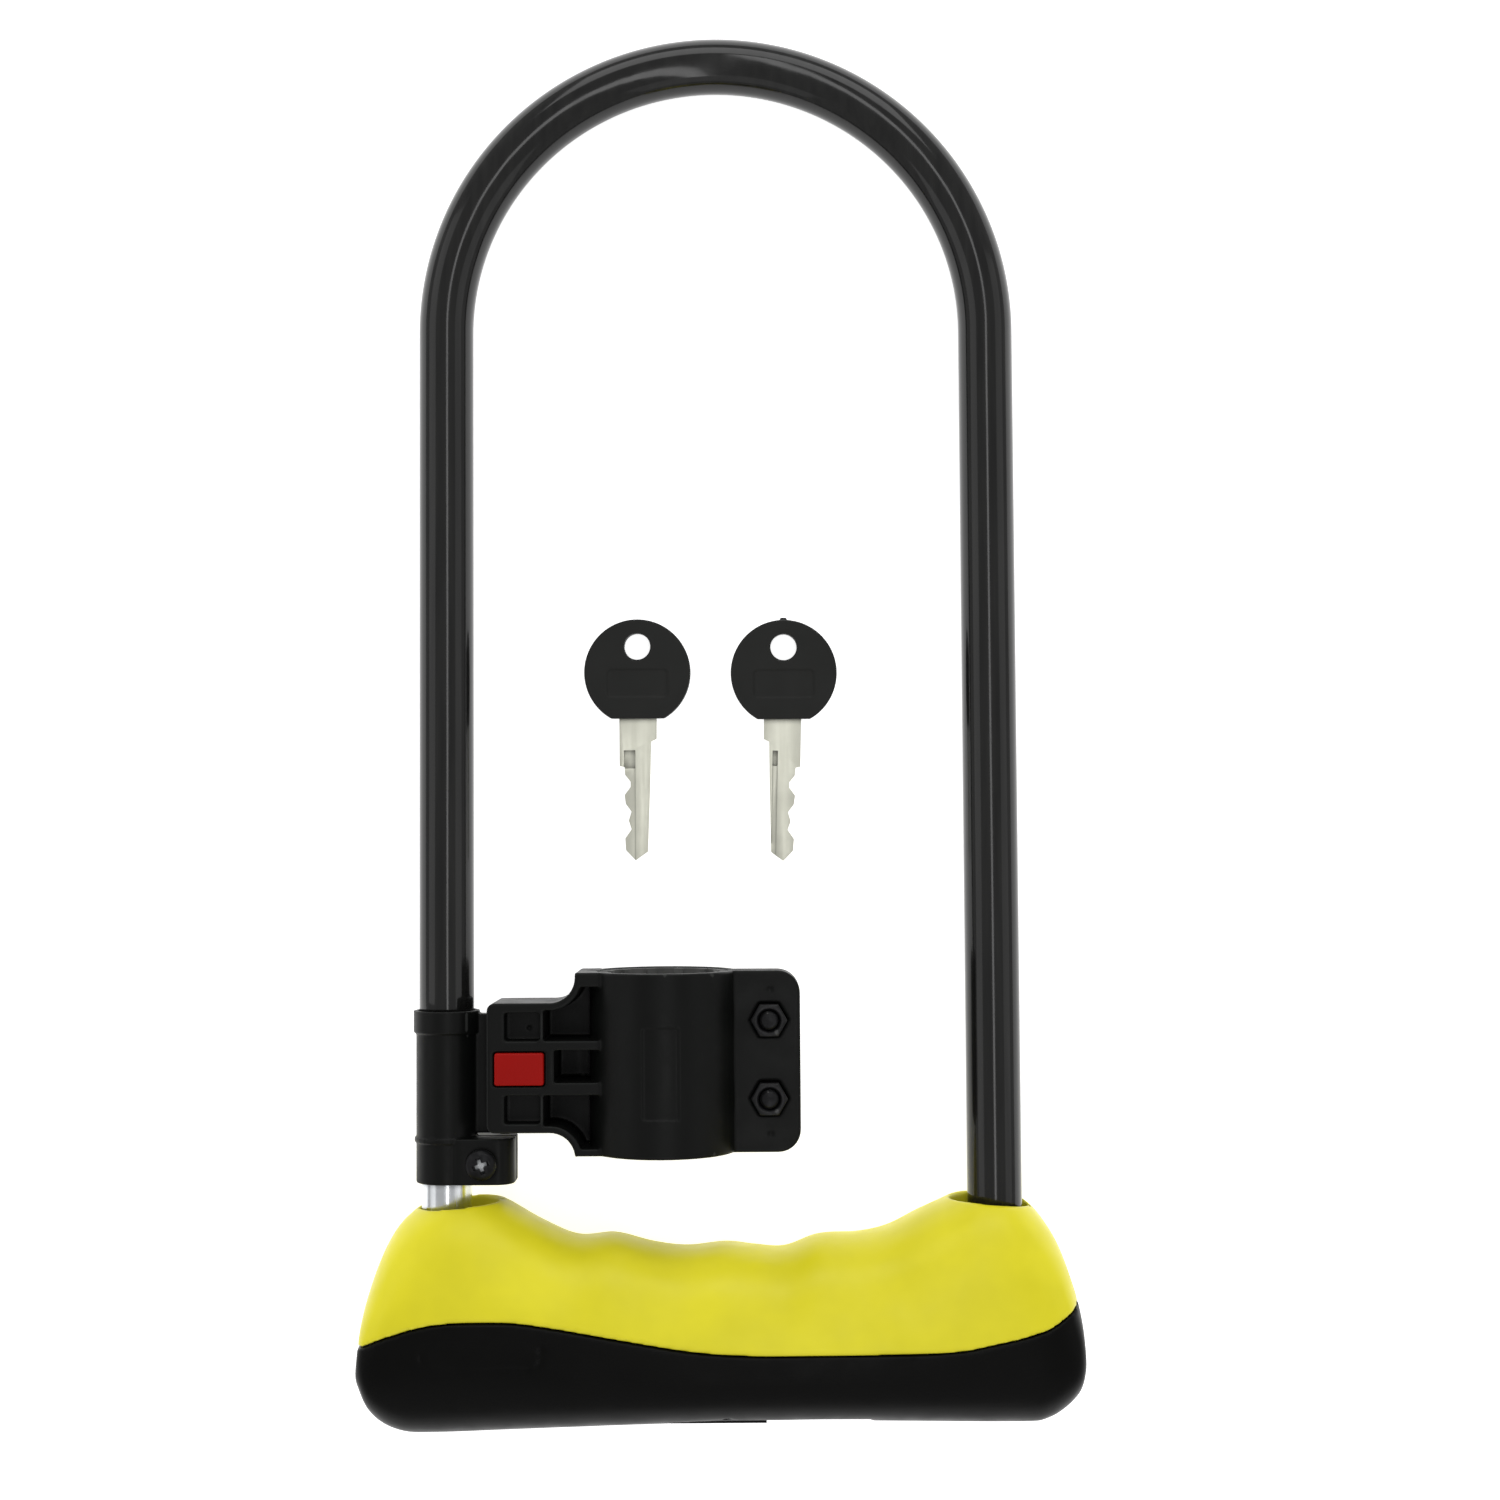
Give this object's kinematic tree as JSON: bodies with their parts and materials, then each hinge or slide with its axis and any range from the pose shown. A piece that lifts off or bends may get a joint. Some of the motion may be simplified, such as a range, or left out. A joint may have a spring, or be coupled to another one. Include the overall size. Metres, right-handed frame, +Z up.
{
  "type": "u lock",
  "caption": "U lock: sleeved steel shackle with two straight feet in a moulded crossbar that holds the key cylinder, with a clamp-on frame bracket and keys.",
  "frame": {"origin": "on the surface that the lock lies on, under the middle of its bounding box", "axes": "+X along the crossbar, +Y from the crossbar towards the bend of the shackle, +Z up from the surface"},
  "size_m": [0.1928, 0.3782, 0.0449],
  "materials": {
    "yellow_shell": "satin moulded yellow",
    "black_plastic": "fine satin moulded black",
    "gloss_sleeve": "glossy black dipped vinyl",
    "red_button": "satin moulded red",
    "grip_rubber": "matt black rubber",
    "bare_steel": "bright plated steel",
    "black_steel": "black oxide",
    "lock_brass": "machined brass",
    "key_nickel": "nickel-plated, lightly brushed"
  },
  "bodies": {
    "crossbar": {"upper_cover": "yellow_shell", "lower_cover": "black_plastic", "crossbar_tube": "bare_steel", "tube_end_plug_left": "black_plastic", "tube_end_plug_right": "black_plastic", "bolt_guide_left": "black_steel", "bolt_guide_right": "black_steel", "cover_screw_left": "black_steel", "cover_screw_right": "black_steel", "cylinder_body": "lock_brass", "retaining_pin": "bare_steel", "driver_pin_1": "lock_brass", "driver_pin_2": "lock_brass", "driver_pin_3": "lock_brass", "driver_pin_4": "lock_brass", "driver_pin_5": "lock_brass", "driver_spring_1": "bare_steel", "driver_spring_2": "bare_steel", "driver_spring_3": "bare_steel", "driver_spring_4": "bare_steel", "driver_spring_5": "bare_steel"},
    "dust_cover": {"dust_cover": "black_plastic"},
    "lock_rotor": {"cylinder_plug": "lock_brass", "lock_cam": "bare_steel", "key_pin_1": "lock_brass", "key_pin_2": "lock_brass", "key_pin_3": "lock_brass", "key_pin_4": "lock_brass", "key_pin_5": "lock_brass"},
    "left_bolt": {"lock_bolt_left": "bare_steel"},
    "right_bolt": {"lock_bolt_right": "bare_steel"},
    "shackle": {"shackle_bar": "bare_steel", "shackle_sleeve": "gloss_sleeve"},
    "collar": {"bracket_collar": "black_plastic", "collar_screw": "black_steel", "collar_nut": "black_steel"},
    "bracket": {"clamp_front": "black_plastic", "clamp_rear": "black_plastic", "clamp_pad_front": "grip_rubber", "clamp_pad_rear": "grip_rubber", "clamp_bolt_lower": "black_steel", "clamp_bolt_upper": "black_steel", "clamp_nut_lower": "black_steel", "clamp_nut_upper": "black_steel", "button_spring": "bare_steel"},
    "release_button": {"release_button": "red_button"},
    "key_1": {"key_1_head": "black_plastic", "key_1_blade": "key_nickel"},
    "key_2": {"key_2_head": "black_plastic", "key_2_blade": "key_nickel"}
  },
  "joints": [
    {"name": "crossbar_slide", "type": "slide", "parent": "shackle", "child": "crossbar", "axis": [0, -0.999, 0.0438], "range_m": [0, 0.065]},
    {"name": "left_bolt_slide", "type": "slide", "parent": "crossbar", "child": "left_bolt", "axis": [-1, 0, 0], "range_m": [0, 0.00594]},
    {"name": "right_bolt_slide", "type": "slide", "parent": "crossbar", "child": "right_bolt", "axis": [1, 0, 0], "range_m": [0, 0.006]},
    {"name": "plug_turn", "type": "hinge", "parent": "crossbar", "child": "lock_rotor", "pos_m": [0, -0.17504, 0.02003], "axis": [0, -0.999, 0.0438], "range_deg": [0, 90]},
    {"name": "dust_cover_slide", "type": "slide", "parent": "crossbar", "child": "dust_cover", "axis": [1, 0, 0], "range_m": [0, 0.027]},
    {"name": "collar_turn", "type": "hinge", "parent": "shackle", "child": "collar", "pos_m": [-0.074, -0.10098, 0.01979], "axis": [0, -0.999, 0.0438], "range_deg": [0, 175]},
    {"name": "bracket_slide", "type": "slide", "parent": "collar", "child": "bracket", "axis": [0, 0.999, -0.0438], "range_m": [0, 0.026]},
    {"name": "button_press", "type": "slide", "parent": "bracket", "child": "release_button", "axis": [0, -0.0438, -0.999], "range_m": [0, 0.0022], "stiffness_N_per_m": 400, "springref_m": -0.002, "deforming": ["button_spring"]},
    {"name": "key_1_lift", "type": "slide", "parent": "shackle", "child": "key_1", "axis": [0, 0, 1], "range_m": [0, 0.12]},
    {"name": "key_2_lift", "type": "slide", "parent": "shackle", "child": "key_2", "axis": [0, 0, 1], "range_m": [0, 0.12]}
  ],
  "couplings": [
    {"joint": "plug_turn", "follows": "left_bolt_slide", "rad_per_m": 264.44},
    {"joint": "right_bolt_slide", "follows": "left_bolt_slide", "ratio": 1}
  ]
}
